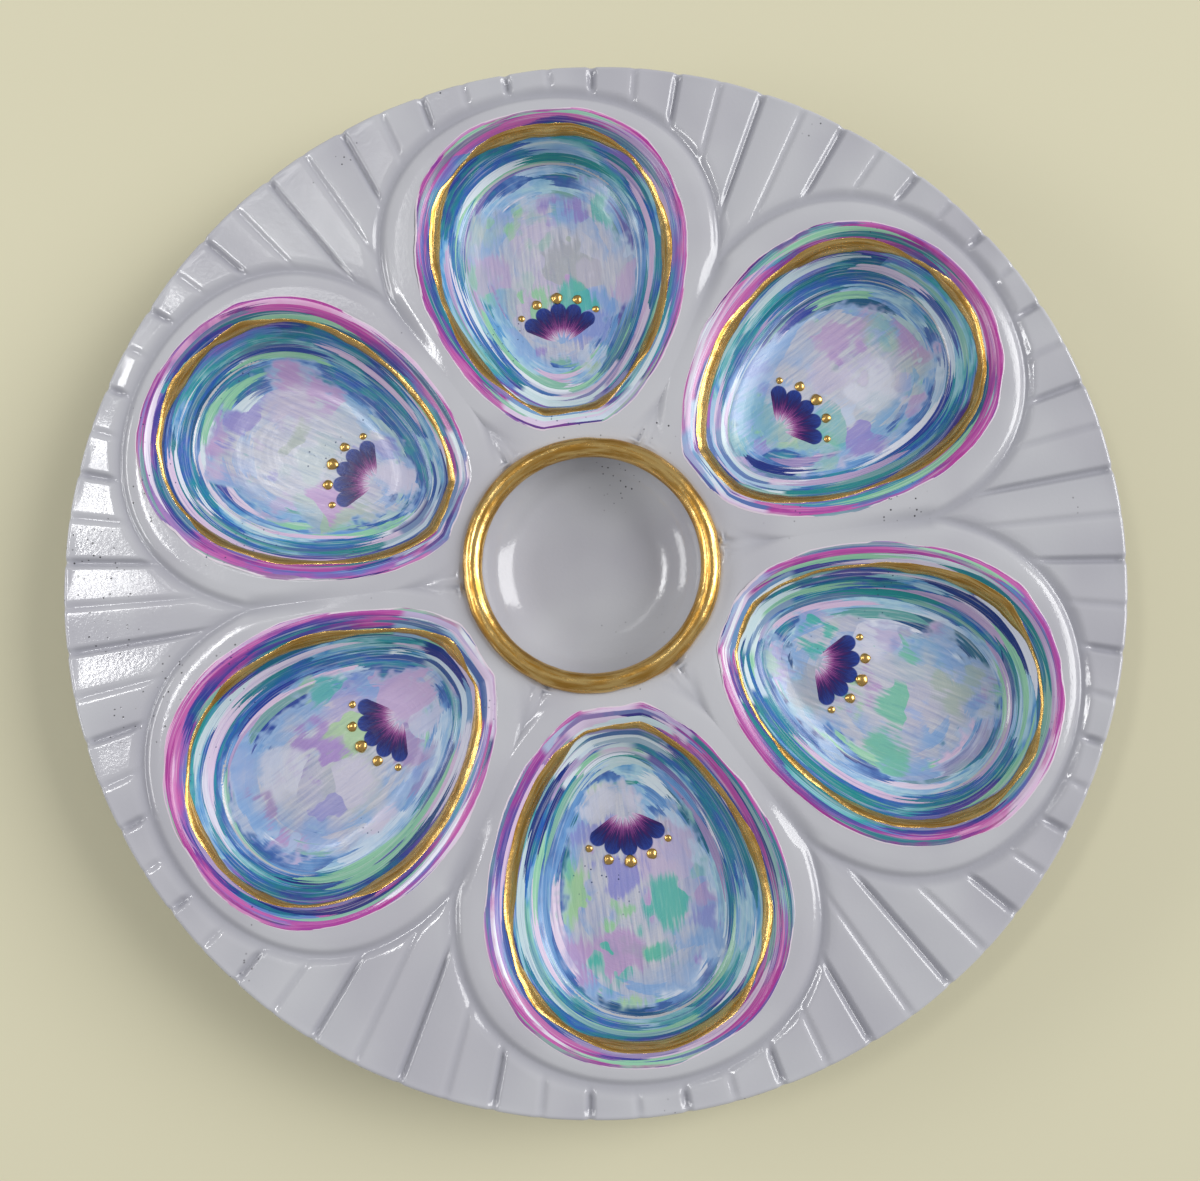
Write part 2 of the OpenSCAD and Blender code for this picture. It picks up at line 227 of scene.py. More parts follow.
# %% Height of the face with its collars, grooves and flutes
PAIR = math.radians(10)
DEEP_AT = math.radians(2.5)
DEEP_HALF = 1.7 * MM
SOFT_HALF = 1.6 * MM
BOW = 0.3 * MM
CREST_W = 5 * MM
VALLEY_W = 4 * MM
HUB_FADE = 16 * MM
RIM_FADE = 2.6 * MM
RIM_KEEP = 0.3
FIELD_START = 0.3 * MM
FIELD_FADE = 3.2 * MM
FLUTE_TAPER = 0.35


def bell(x):
    return 0.5 + 0.5 * math.cos(math.pi * min(1, abs(x)))


def flute_dip(r, angle):
    around = (angle - DEEP_AT) % PAIR
    deep = min(around, PAIR - around) * r
    soft = abs(around - PAIR / 2) * r
    taper = mix(FLUTE_TAPER, 1, r / PLATE_R)
    dip = DEEP_D * bell(deep / (DEEP_HALF * taper)) + SOFT_D * bell(soft / (SOFT_HALF * taper))
    return dip + BOW * bell(2 * deep / (PAIR * r))


def groove_dip(u, v):
    distance = collar_distance(u, v)
    r = math.hypot(u, v)
    groove = GROOVE_D * bell(distance / (SHOULDER_W if distance < 0 else GROOVE_W))
    inside = smooth((APEX_R - r) / (APEX_R - SEAT_R))
    side = r * math.sin(max(0, SECTOR / 2 - abs(math.atan2(v, u))))
    valley = GROOVE_D * (1 - inside) ** 2 * bell(side / VALLEY_W) if r < APEX_R else 0
    both = math.hypot(groove, valley * (1 - inside))
    return min(GROOVE_D, both) * smooth((r - SEAT_R) / HUB_FADE)


def dips(u, v):
    r = math.hypot(u, v)
    field = smooth((collar_distance(u, v) - FIELD_START) / FIELD_FADE)
    rim = mix(1, RIM_KEEP, smooth((r - PLATE_R + RIM_FADE) / RIM_FADE))
    return groove_dip(u, v) + flute_dip(r, math.atan2(v, u)) * field * rim


def top_z(u, v):
    r = math.hypot(u, v)
    along = min(1, max(0, (u - HINGE_U) / (OUTER_U - HINGE_U)))
    rise = COLLAR_RISE * mix(HINGE_RISE_SHARE, 1, along) * smooth((r - SEAT_R) / HUB_RISE_W)
    return face_h(r) + rise * smooth(-collar_distance(u, v) / CREST_W) - dips(u, v)


def well_point(t, share):
    """share is 0 in the middle of the floor, 1 at the floor's edge and 2 at the lip."""
    if share <= 1:
        point = egg(FLOOR_MID, FLOOR_LEN * share, FLOOR_WID * share, t)
        lift = smooth((share - FLAT_SHARE) / (1 - FLAT_SHARE) / 2) * 2
        return Vector((point.x, point.y, WELL_FLOOR_H + FLOOR_RISE * lift))
    edge = lip(t)
    point = egg(FLOOR_MID, FLOOR_LEN, FLOOR_WID, t).lerp(edge, share - 1)
    z = mix(WELL_FLOOR_H + FLOOR_RISE, top_z(edge.x, edge.y), smooth(share - 1))
    return Vector((point.x, point.y, z))


print("face at the hub and rim in mm:", [round(face_h(r) / MM, 2) for r in (SEAT_R, PLATE_R)])

# %% [markdown]
# A sheet. Each stretch of the surface starts as a grid, which is added with as many
# columns and rows as the stretch needs, and each of its corners then goes to the place
# that the formulas give. It is the same as laying a flat sheet of clay over a mould.


# %% Helpers that lay a grid over a form
WELD = 0.005 * MM


def select_none():
    bpy.ops.object.select_all(action="DESELECT")


def laid_grid(name, columns, rows, place):
    select_none()
    bpy.ops.mesh.primitive_grid_add(x_subdivisions=columns, y_subdivisions=rows, size=1)
    sheet = bpy.context.object
    sheet.name = sheet.data.name = name
    for vertex in sheet.data.vertices:
        column = round((vertex.co.x + 0.5) * columns)
        row = round((vertex.co.y + 0.5) * rows)
        vertex.co = place(column, row)
    return sheet


def joined(name, pieces):
    select_none()
    for piece in pieces:
        piece.select_set(True)
    bpy.context.view_layer.objects.active = pieces[0]
    bpy.ops.object.join()
    pieces[0].name = pieces[0].data.name = name
    return pieces[0]


def edit(piece):
    select_none()
    piece.select_set(True)
    bpy.context.view_layer.objects.active = piece
    bpy.ops.object.mode_set(mode="EDIT")
    bpy.ops.mesh.select_all(action="SELECT")


def finish_mesh(piece):
    edit(piece)
    bpy.ops.mesh.remove_doubles(threshold=WELD)
    bpy.ops.mesh.normals_make_consistent(inside=False)
    bpy.ops.object.mode_set(mode="OBJECT")
    bpy.ops.object.shade_smooth()
    print(piece.name, len(piece.data.polygons), "faces")
    return piece


def well_angle(number):
    return FIRST_WELL + (number - 1) * SECTOR


# %% [markdown]
# One sector of the face. The field of flutes runs from the groove round the collar to the
# rim, the collar from the well's lip to that groove, and the bed of the well lies under
# its lining. All three share the points on their common edges, so they weld into one skin.

# %% Columns and rows of a sector
PAIR_STOPS = ((0, 0), (3, 1.6), (15, 3.4), (19, 6.6), (26, 8.4), (30, 10))
PAIR_COLS = PAIR_STOPS[-1][0]
FIELD_COLS = PAIR_COLS * round(SECTOR / PAIR)
SIDE_COLS = 26
HUB_COLS = 20
INNER_COLS = 2 * SIDE_COLS + HUB_COLS
RING = FIELD_COLS + INNER_COLS
GROOVE_ROWS = [0, 0.5, 1.0, 1.6, 2.2, 2.9, 3.6]
FIELD_ROWS = 15
COLLAR_ROWS = 14
BED_ROWS = 8
BED_SINK = 0.35 * MM
COLLAR_CROWD = 0.6
RIM_CROWD = 1.7


def field_angle(column):
    """The columns crowd where a flute is: PAIR_STOPS gives (column, degrees) in one pair."""
    pair, rest = divmod(column, PAIR_COLS)
    for (first, low), (last, high) in zip(PAIR_STOPS, PAIR_STOPS[1:]):
        if rest <= last:
            degrees = mix(low, high, (rest - first) / (last - first))
            return pair * PAIR - SECTOR / 2 + math.radians(degrees)


field_t = [collar_t(field_angle(k)) for k in range(FIELD_COLS + 1)]


def ring_t(k):
    if k <= FIELD_COLS:
        return field_t[k]
    return mix(field_t[-1], math.tau + field_t[0], (k - FIELD_COLS) / INNER_COLS)


def ring_edge(k):
    """Outer end of the collar's columns: the groove, then the sector's sides and the hub."""
    if k <= FIELD_COLS:
        return collar(field_t[k])
    k -= FIELD_COLS
    if k <= SIDE_COLS:
        r, angle = mix(APEX_R, SEAT_R, k / SIDE_COLS), SECTOR / 2
    elif k < SIDE_COLS + HUB_COLS:
        r, angle = SEAT_R, mix(SECTOR / 2, -SECTOR / 2, (k - SIDE_COLS) / HUB_COLS)
    else:
        r, angle = mix(APEX_R, SEAT_R, (INNER_COLS - k) / SIDE_COLS), -SECTOR / 2
    return Vector((r * math.cos(angle), r * math.sin(angle)))


def face_point(u, v):
    return Vector((u, v, top_z(u, v)))


def collar_place(column, row):
    share = row / COLLAR_ROWS
    share = mix(share, math.sin(share * math.pi / 2), COLLAR_CROWD)
    point = lip(ring_t(column)).lerp(ring_edge(column), share)
    return face_point(point.x, point.y)


def bed_place(column, row):
    point = well_point(ring_t(column), 2 * row / BED_ROWS)
    point.z -= BED_SINK * smooth((BED_ROWS - row) / 2)
    return point


def field_place(column, row):
    start = collar(field_t[column]).length
    grooves = len(GROOVE_ROWS)
    last = PLATE_R - EDGE_ROUND
    reach = min(1, (last - start) / (2 * GROOVE_ROWS[-1] * MM))
    if row < grooves:
        r = start + GROOVE_ROWS[row] * MM * reach
    else:
        share = 1 - (1 - (row - grooves + 1) / FIELD_ROWS) ** RIM_CROWD
        r = mix(start + GROOVE_ROWS[-1] * MM * reach, last, share)
    angle = field_angle(column)
    return face_point(r * math.cos(angle), r * math.sin(angle))


# %% Lay, weld and repeat the sector
field = laid_grid("field", FIELD_COLS, len(GROOVE_ROWS) + FIELD_ROWS - 1, field_place)
collar_band = laid_grid("collar_band", RING, COLLAR_ROWS, collar_place)
bed = laid_grid("bed", RING, BED_ROWS, bed_place)
plate = joined("plate_casting", [field, collar_band, bed])
plate.data.transform(Matrix.Rotation(FIRST_WELL, 4, "Z"))
edit(plate)
bpy.ops.mesh.remove_doubles(threshold=WELD)
bpy.ops.mesh.spin(
    steps=WELLS - 1, dupli=True, angle=math.tau - SECTOR, center=(0, 0, 0), axis=(0, 0, 1)
)
bpy.ops.mesh.select_all(action="SELECT")
bpy.ops.mesh.remove_doubles(threshold=WELD)
bpy.ops.object.mode_set(mode="OBJECT")
print("six sectors:", len(plate.data.polygons), "faces")

# %% [markdown]
# The cup and the rim grow out of the two open edges of the face. An open edge is extruded
# row by row, as a potter pulls a wall, and each new row goes to its place on the profile:
# about a quarter of an ellipse for the cup, and a small round for the rim.

# %% Pull the cup and the rim
CUP_ROWS = 22
CUP_CURVE = 0.9
CUP_FLOOR_ROWS = 5
CUP_FLOOR_DIP = 0.15 * MM
CUP_MIDDLE_SHARE = 0.4
EDGE_ROWS = 6
EDGE_LIFT = 0.1 * MM
SIDE_ROWS = 3
UNDER_COLS = WELLS * FIELD_COLS // 4
UNDER_R = PLATE_R - 3 * EDGE_ROUND


def open_edge(piece, wanted):
    """Selects the open edges whose both ends lie at a wanted radius."""
    bpy.ops.mesh.select_mode(type="EDGE")
    bpy.ops.mesh.select_all(action="DESELECT")
    mesh = bmesh.from_edit_mesh(piece.data)
    for edge in mesh.edges:
        if edge.is_boundary and all(wanted(end.co.xy.length) for end in edge.verts):
            edge.select_set(True)
    bmesh.update_edit_mesh(piece.data)
    return sum(edge.select for edge in mesh.edges)


def pull_row(piece, place):
    """Extrudes the selected edge and moves its copy to place(angle)."""
    bpy.ops.mesh.extrude_edges_move()
    mesh = bmesh.from_edit_mesh(piece.data)
    for vertex in mesh.verts:
        if vertex.select:
            vertex.co = place(math.atan2(vertex.co.y, vertex.co.x))
    bmesh.update_edit_mesh(piece.data)


def ring_at(r, z):
    return lambda angle: Vector((r * math.cos(angle), r * math.sin(angle), z))


def local_angle(angle):
    return (angle - FIRST_WELL + SECTOR / 2) % SECTOR - SECTOR / 2


def rim_at(turn):
    def place(angle):
        inner = PLATE_R - EDGE_ROUND
        here = local_angle(angle)
        top = top_z(inner * math.cos(here), inner * math.sin(here))
        r = inner + EDGE_ROUND * math.sin(turn)
        z = top + EDGE_LIFT * math.sin(turn) - EDGE_ROUND * (1 - math.cos(turn))
        return ring_at(r, z)(angle)
    return place


edit(plate)
print("cup's edge:", open_edge(plate, lambda r: r < BEAD_R + BEAD_W), "edges")
for row in range(1, CUP_ROWS + 1):
    height = math.pi / 2 * (1 - row / CUP_ROWS)
    r = mix(CUP_FLOOR_R, CUP_R + BEAD_W / 4, math.sin(height))
    pull_row(plate, ring_at(r, mix(face_h(SEAT_R), CUP_FLOOR_H, math.cos(height) ** CUP_CURVE)))
for row in range(1, CUP_FLOOR_ROWS + 1):
    r = CUP_FLOOR_R * (1 - row / (CUP_FLOOR_ROWS + CUP_MIDDLE_SHARE))
    pull_row(plate, ring_at(r, CUP_FLOOR_H - CUP_FLOOR_DIP * smooth(row / CUP_FLOOR_ROWS)))
bpy.ops.mesh.edge_face_add()
print("rim's edge:", open_edge(plate, lambda r: r > PLATE_R - 2 * EDGE_ROUND), "edges")
for row in range(1, EDGE_ROWS + 1):
    pull_row(plate, rim_at(math.pi / 2 * row / EDGE_ROWS))
for row in range(1, SIDE_ROWS + 1):
    turn = math.pi / 2 * row / SIDE_ROWS
    low = RIM_H - EDGE_T + EDGE_ROUND * (1 - math.sin(turn))
    pull_row(plate, ring_at(PLATE_R - EDGE_ROUND * (1 - math.cos(turn)), low))


def pinched(angle):
    """Every four points of the rim meet in one point of the underside."""
    column = round(angle / math.tau * UNDER_COLS)
    return ring_at(UNDER_R, RIM_H - EDGE_T)(math.tau * column / UNDER_COLS)


pull_row(plate, pinched)
bpy.ops.object.mode_set(mode="OBJECT")

# %% [markdown]
# The underside follows the face at the thickness of the ceramic: it bulges under each
# well and under the cup, and stands on a plain foot ring. It can be raised by a Solidify
# modifier, but that would also repeat every flute. A second sheet with its own formula
# gives the smooth back that a press mould leaves. The last row of the rim is pinched, so
# that every four of its points meet in one point of the coarser underside, and is welded.

# %% Lay the underside
UNDER_ROWS = 64
UNDER_START = 2 * MM
UNDER_EDGE_W = 6 * MM
BULGE_GROW = 0.8
BULGE_THIN = 0.35
BULGE_STEPS = 14
BLEND_W = 2.5 * MM
FOOT_ROUND = 2.2 * MM


def bulge_share(u, v):
    """Share of the wall's rise under a point, by halving."""
    low, high = 0, 1
    for _ in range(BULGE_STEPS):
        half = (low + high) / 2
        grow = WALL * BULGE_GROW * math.sin(math.pi * half)
        length = mix(FLOOR_LEN, LIP_LEN, half) + grow
        width = mix(FLOOR_WID, LIP_WID, half) + grow
        if egg_level(mix(FLOOR_MID, LIP_MID, half), length, width, u, v) > 1:
            low = half
        else:
            high = half
    return low


def under_z(r, angle):
    share = bulge_share(r * math.cos(angle), r * math.sin(angle))
    thick = mix(WALL, EDGE_T, smooth((r - OUTER_U) / (PLATE_R - OUTER_U)))
    well = mix(WELL_FLOOR_H, face_h(r), smooth(share))
    well -= thick * (1 - BULGE_THIN * math.sin(math.pi * share))
    out = smooth((r - CUP_FLOOR_R - WALL) / (BEAD_R + WALL / 2 - CUP_FLOOR_R - WALL))
    cup = mix(CUP_FLOOR_H - WALL, face_h(r) - WALL, out)
    gap = abs(well - cup)
    return min(well, cup) - max(0, BLEND_W - gap) ** 2 / BLEND_W / 4


def under_place(column, row):
    angle = math.tau * column / UNDER_COLS
    r = mix(UNDER_START, UNDER_R, row / UNDER_ROWS)
    foot = smooth((r - FOOT_R + FOOT_W + FOOT_ROUND) / FOOT_ROUND)
    foot *= smooth((FOOT_R + FOOT_ROUND - r) / FOOT_ROUND)
    edge = smooth((r - UNDER_R + UNDER_EDGE_W) / UNDER_EDGE_W)
    z = mix(under_z(r, local_angle(angle)), RIM_H - EDGE_T, edge)
    return ring_at(r, z * (1 - foot))(angle)


underside = laid_grid("underside", UNDER_COLS, UNDER_ROWS, under_place)
edit(underside)
bpy.ops.mesh.remove_doubles(threshold=WELD)
open_edge(underside, lambda r: r < 1.5 * UNDER_START)
bpy.ops.mesh.edge_face_add()
bpy.ops.object.mode_set(mode="OBJECT")
plate = finish_mesh(joined("plate_casting", [plate, underside]))

# %% [markdown]
# A lining is brushed into each well: it covers the floor and the walls and ends on the
# collar in an edge that the brush left uneven. It could be painted on the casting itself.
# A sheet of its own was chosen, a seventh of a millimetre proud, because the enamel is its
# own layer, and the strokes can then follow the well: each corner remembers how far round
# and how far up the well it lies, and how far from the paint's edge, in attributes that
# the material reads.

# %% Lay the linings
LINING_COLS = 216
LINING_ROWS = 44
PAINT_T = 0.14 * MM
EDGE_DROP = 0.8 * PAINT_T
EDGE_REACH = 0.15
PAST_LIP = 10 * MM
NOISE_STEP = 3.7
STROKE_STEP = 5
FAN_U = FLOOR_MID - 0.6 * FLOOR_LEN
FAN_LEN = 12.5 * MM


def around(t, size, number):
    """A point that goes round a circle with t, so that noise on it has no seam."""
    return Vector((size * math.cos(t), size * math.sin(t), NOISE_STEP * number))


def uneven(t, number, *waves):
    """Sum of noise round the well: each wave is (how many bumps, how high)."""
    return sum(high * noise.noise(around(t, count, number + high)) for count, high in waves)


def lining_point(t, share):
    """Like well_point, but past the lip the paint runs on over the collar."""
    if share <= 2:
        point = well_point(t, share)
    else:
        edge = lip(t)
        out = (edge - Vector((LIP_MID, 0))).normalized()
        edge += out * (share - 2) * PAST_LIP
        point = face_point(edge.x, edge.y)
    point.z += PAINT_T
    return point


def lay_lining(number):
    ts = [math.tau * k / LINING_COLS for k in range(LINING_COLS + 1)]

    def reach(t):
        return 2 + EDGE_REACH / 2 + EDGE_REACH * uneven(t, number, (1.5, 1), (5, 0.4), (24, 0.08))

    def place(column, row):
        point = lining_point(ts[column], reach(ts[column]) * row / LINING_ROWS)
        if row == LINING_ROWS:
            point.z -= EDGE_DROP
        return point

    lining = laid_grid("enamel_lining_%d" % number, LINING_COLS, LINING_ROWS, place)
    attributes = lining.data.attributes
    attributes.new("stroke", "FLOAT_VECTOR", "POINT")
    attributes.new("motif", "FLOAT_VECTOR", "POINT")
    attributes.new("edge", "FLOAT", "POINT")
    stroke, motif, edge = attributes["stroke"], attributes["motif"], attributes["edge"]
    for index, vertex in enumerate(lining.data.vertices):
        t = ts[index % (LINING_COLS + 1)]
        out = reach(t) * (index // (LINING_COLS + 1)) / LINING_ROWS
        stroke.data[index].vector = (math.cos(t) + STROKE_STEP * number, math.sin(t), out / 2)
        edge.data[index].value = (reach(t) - out) * PAST_LIP / MM
        motif.data[index].vector = ((vertex.co.x - FAN_U) / FAN_LEN, vertex.co.y / FAN_LEN, number)
    lining.data.transform(Matrix.Rotation(well_angle(number), 4, "Z"))
    return finish_mesh(lining)


linings = [lay_lining(number) for number in range(1, WELLS + 1)]

# %% [markdown]
# The gilding is thick: a raised line round each well and five dots on its floor. A curve
# with a bevel gives an even wire, but a brushed line swells, thins and follows the wall.
# So the line is one more laid sheet: a low half round whose width changes along the way.

# %% Lay the gilt lines
GILT_COLS = 240
GILT_ROWS = 12
GILT_SHARE = 1.64
GILT_WANDER = 0.05
GILT_SINK = 0.1 * MM
GILT_HALF_W = 1.55 * MM
GILT_H = 0.5 * MM
NEAR_SHARE = 0.05
NUDGE = 0.01


def lay_gilt_line(number):
    def place(column, row):
        t = math.tau * column / GILT_COLS
        middle = GILT_SHARE + GILT_WANDER * uneven(t, number, (1.4, 1), (5, 0.4))
        rise = lining_point(t, middle + NEAR_SHARE) - lining_point(t, middle - NEAR_SHARE)
        slope = rise.length / (2 * NEAR_SHARE)
        swell = uneven(t, number + 9, (2, 2.2), (14, 0.16))
        half = GILT_HALF_W * min(1.5, max(0.35, 0.95 + swell))
        turn = math.pi * row / GILT_ROWS
        point = lining_point(t, middle - half / slope * math.cos(turn))
        near = lining_point(t, middle - NUDGE)
        far = lining_point(t, middle + NUDGE)
        side = (lining_point(t + NUDGE, middle) - near).cross(far - near).normalized()
        side *= -1 if side.z < 0 else 1
        height = GILT_H * (0.9 + uneven(t, number + 20, (6, 0.3), (30, 0.15)))
        return point + side * (height * math.sin(turn) - GILT_SINK)

    line = laid_grid("gilt_line_%d" % number, GILT_COLS, GILT_ROWS, place)
    stroke = line.data.attributes.new("stroke", "FLOAT_VECTOR", "POINT")
    for index in range(len(line.data.vertices)):
        t = math.tau * (index % (GILT_COLS + 1)) / GILT_COLS
        row = index // (GILT_COLS + 1)
        stroke.data[index].vector = (math.cos(t) + STROKE_STEP * number, math.sin(t), row / GILT_ROWS)
    line.data.transform(Matrix.Rotation(well_angle(number), 4, "Z"))
    return line


DOT_D = 3.4 * MM
DOT_SHARES = (0.6, 0.8, 1, 0.8, 0.6)
DOT_R = 14 * MM
DOT_STEP = math.radians(24)
DOT_FLAT = 0.62
DOT_UNEVEN = 0.18
DOT_NOISE = 0.8 / MM


def lay_dots(number):
    dots = []
    for place, share in enumerate(DOT_SHARES):
        angle = (place - 2) * DOT_STEP
        middle = Vector((FAN_U + DOT_R * math.cos(angle), DOT_R * math.sin(angle), WELL_FLOOR_H))
        select_none()
        bpy.ops.mesh.primitive_uv_sphere_add(
            segments=28, ring_count=16, radius=DOT_D / 2 * share, location=middle
        )
        dot = bpy.context.object
        dot.scale.z = DOT_FLAT
        bpy.ops.object.transform_apply(location=True, rotation=True, scale=True)
        for vertex in dot.data.vertices:
            vertex.co.xy += (vertex.co.xy - middle.xy) * DOT_UNEVEN * noise.noise(vertex.co * DOT_NOISE)
        edit(dot)
        bpy.ops.mesh.bisect(plane_co=middle, plane_no=(0, 0, 1), clear_inner=True, use_fill=True)
        bpy.ops.object.mode_set(mode="OBJECT")
        dots.append(dot)
    dots = joined("gilt_dots_%d" % number, dots)
    dots.data.transform(Matrix.Rotation(well_angle(number), 4, "Z"))
    return dots


def lay_gilding(number):
    pieces = [lay_gilt_line(number), lay_dots(number)]
    return finish_mesh(joined("well_gilt_%d" % number, pieces))


gildings = [lay_gilding(number) for number in range(1, WELLS + 1)]

# %% [markdown]
# The bead round the cup is a full round roll, gilded by hand. A torus is the right start:
# its lower half is cut away where the casting begins, and its outline is made a little
# uneven, as a brush leaves it.

# %% Turn the cup's bead
BEAD_FIT = 0.96
BEAD_UNEVEN = 0.02
DRIP = 0.13
DRIP_MOST = 0.3
BEAD_SINK = 0.4 * MM

bead_mid_r = BEAD_R - BEAD_W / 2
bead_z = bead_low.z
select_none()
bpy.ops.mesh.primitive_torus_add(
    major_segments=360, minor_segments=28, major_radius=bead_mid_r, minor_radius=BEAD_W / 2,
    location=(0, 0, bead_z),
)
bead = bpy.context.object
bead.name = bead.data.name = "cup_bead"
bpy.ops.object.transform_apply(location=True, rotation=True, scale=True)
bead_stroke = bead.data.attributes.new("stroke", "FLOAT_VECTOR", "POINT")
for vertex in bead.data.vertices:
    angle = math.atan2(vertex.co.y, vertex.co.x)
    core = Vector((bead_mid_r * math.cos(angle), bead_mid_r * math.sin(angle), bead_z))
    arm = vertex.co - core
    outward = max(0, vertex.co.xy.length - bead_mid_r) / (BEAD_W / 2)
    drip = noise.noise(around(angle, 2.4, 0)) + 0.5 * noise.noise(around(angle, 9, 1))
    swell = BEAD_FIT + BEAD_UNEVEN * noise.noise(around(angle, 12, 2))
    swell += DRIP * outward * min(DRIP_MOST, drip)
    vertex.co = core + arm * swell
    turn = math.atan2(arm.z, outward * BEAD_W / 2 or -arm.xy.length) / math.tau
    bead_stroke.data[vertex.index].vector = (math.cos(angle), math.sin(angle), turn)
edit(bead)
bpy.ops.mesh.bisect(
    plane_co=(0, 0, bead_z - BEAD_SINK), plane_no=(0, 0, 1), clear_inner=True, use_fill=False
)
bpy.ops.object.mode_set(mode="OBJECT")
finish_mesh(bead)

# %% [markdown]
# Helpers for materials. A material is a net of nodes, and each helper below adds one node
# and joins it up, so that a recipe reads from top to bottom.


# %% Helpers for nodes
def srgb(red, green, blue):
    """A colour as a picture program names it, 0 to 255, turned into light."""
    parts = [c / 255 for c in (red, green, blue)]
    return [c / 12.92 if c <= 0.04045 else ((c + 0.055) / 1.055) ** 2.4 for c in parts] + [1]


def add_node(tree, kind, inputs=(), **settings):
    made = tree.nodes.new("ShaderNode" + kind)
    for name, value in settings.items():
        setattr(made, name, value)
    for name, value in dict(inputs).items():
        if isinstance(value, bpy.types.NodeSocket):
            tree.links.new(value, made.inputs[name])
        else:
            made.inputs[name].default_value = value
    return made


def add_math(tree, operation, first, second=0.0):
    pair = {0: first, 1: second}
    return add_node(tree, "Math", pair, operation=operation).outputs[0]


def add_mix(tree, share, first, second):
    inputs = {0: share, 6: first, 7: second}
    return add_node(tree, "Mix", inputs, data_type="RGBA").outputs[2]


def add_range(tree, value, low, high, to_low=0.0, to_high=1.0):
    inputs = {"Value": value, "From Min": low, "From Max": high, "To Min": to_low, "To Max": to_high}
    return add_node(tree, "MapRange", inputs, interpolation_type="SMOOTHSTEP").outputs[0]


def add_noise(tree, vector, scale, detail=2.0, rough=0.5):
    inputs = {"Vector": vector, "Scale": scale, "Detail": detail, "Roughness": rough}
    return add_node(tree, "TexNoise", inputs).outputs["Fac"]


def add_ramp(tree, value, stops):
    ramp = add_node(tree, "ValToRGB", {"Fac": value})
    elements = ramp.color_ramp.elements
    while len(elements) < len(stops):
        elements.new(1)
    for element, (place, colour) in zip(elements, stops):
        element.position, element.color = place, colour
    return ramp.outputs["Color"]


def new_material(name):
    material = bpy.data.materials.new(name)
    material.use_nodes = True
    tree = material.node_tree
    shader = next(n for n in tree.nodes if n.type == "BSDF_PRINCIPLED")
    return material, tree, shader


def new_group(name, inputs, outputs):
    group = bpy.data.node_groups.new(name, "ShaderNodeTree")
    for title, kind in inputs:
        group.interface.new_socket(name=title, in_out="INPUT", socket_type="NodeSocket" + kind)
    for title, kind in outputs:
        group.interface.new_socket(name=title, in_out="OUTPUT", socket_type="NodeSocket" + kind)
    start, end = group.nodes.new("NodeGroupInput"), group.nodes.new("NodeGroupOutput")
    return group, start.outputs, end.inputs


def add_group(tree, group, inputs):
    return add_node(tree, "Group", inputs, node_tree=group).outputs


# %% [markdown]
# Three effects are shared. Glaze and enamel both have pin holes, tiny pits that bubbles left
# in clusters, and most of them crowd at the left rim. Enamel and gold both show the hairs of
# the brush, fine ridges that run along the stroke. And every layer of the enamel is made of
# single strokes, long cells with ragged ends, of which each has three values of its own.
# All are node groups, built once.

# %% Shared effects
CROWD_AT = Vector((-118, -8, 22)) * MM
CROWD_NEAR = 15 * MM
CROWD_FAR = 75 * MM

pits, pits_in, pits_out = new_group(
    "pin_holes",
    [("Vector", "Vector"), ("Spacing", "Float")],
    [("Mask", "Float")],
)
cells = add_node(pits, "TexVoronoi", {"Vector": pits_in["Vector"], "Scale": pits_in["Spacing"]})
speck = add_range(pits, cells.outputs["Distance"], 0.1, 0.2, 1, 0)
cell_id = add_node(pits, "SeparateColor", {"Color": cells.outputs["Color"]}).outputs["Red"]
lonely = add_range(pits, cell_id, 0.46, 0.5)
away = add_node(pits, "VectorMath", {0: pits_in["Vector"], 1: CROWD_AT}, operation="DISTANCE")
crowd = add_range(pits, away.outputs["Value"], CROWD_NEAR, CROWD_FAR, 0.13, -0.05)
crowd = add_math(pits, "ADD", add_noise(pits, pits_in["Vector"], 42, 2), crowd)
cluster = add_range(pits, crowd, 0.57, 0.66)
pit = add_math(pits, "MULTIPLY", add_math(pits, "MULTIPLY", speck, lonely), cluster)
pits.links.new(pit, pits_out["Mask"])


def stretched(tree, vector, along, across):
    """Scales a stroke's coordinates, so that noise and cells on it become long."""
    scale = add_node(tree, "CombineXYZ", {"X": along, "Y": along, "Z": across}).outputs[0]
    return add_node(tree, "VectorMath", {0: vector, 1: scale}, operation="MULTIPLY").outputs[0]


hairs, hairs_in, hairs_out = new_group(
    "brush_hairs",
    [("Stroke", "Vector"), ("Along", "Float"), ("Across", "Float")],
    [("Hairs", "Float")],
)
stroke_at = stretched(hairs, hairs_in["Stroke"], hairs_in["Along"], hairs_in["Across"])
hairs.links.new(add_noise(hairs, stroke_at, 1, 4, 0.6), hairs_out["Hairs"])


def add_hairs(tree, stroke, along, across):
    inputs = {"Stroke": stroke, "Along": along, "Across": across}
    return add_group(tree, hairs, inputs)["Hairs"]


strokes, strokes_in, strokes_out = new_group(
    "brush_strokes",
    [("Stroke", "Vector"), ("Along", "Float"), ("Across", "Float"), ("Ragged", "Float")],
    [("First", "Float"), ("Second", "Float"), ("Third", "Float")],
)
bristle = add_hairs(strokes, strokes_in["Stroke"], 0.6, 70)
bristle = add_math(strokes, "SUBTRACT", bristle, 0.5)
bristle = add_math(strokes, "MULTIPLY", bristle, strokes_in["Ragged"])
ends = add_node(strokes, "CombineXYZ", {"X": bristle, "Y": bristle, "Z": 0.0}).outputs[0]
frayed = add_node(strokes, "VectorMath", {0: strokes_in["Stroke"], 1: ends}, operation="ADD")
long_cells = stretched(strokes, frayed.outputs[0], strokes_in["Along"], strokes_in["Across"])
cells = add_node(strokes, "TexVoronoi", {"Vector": long_cells, "Scale": 1.0})
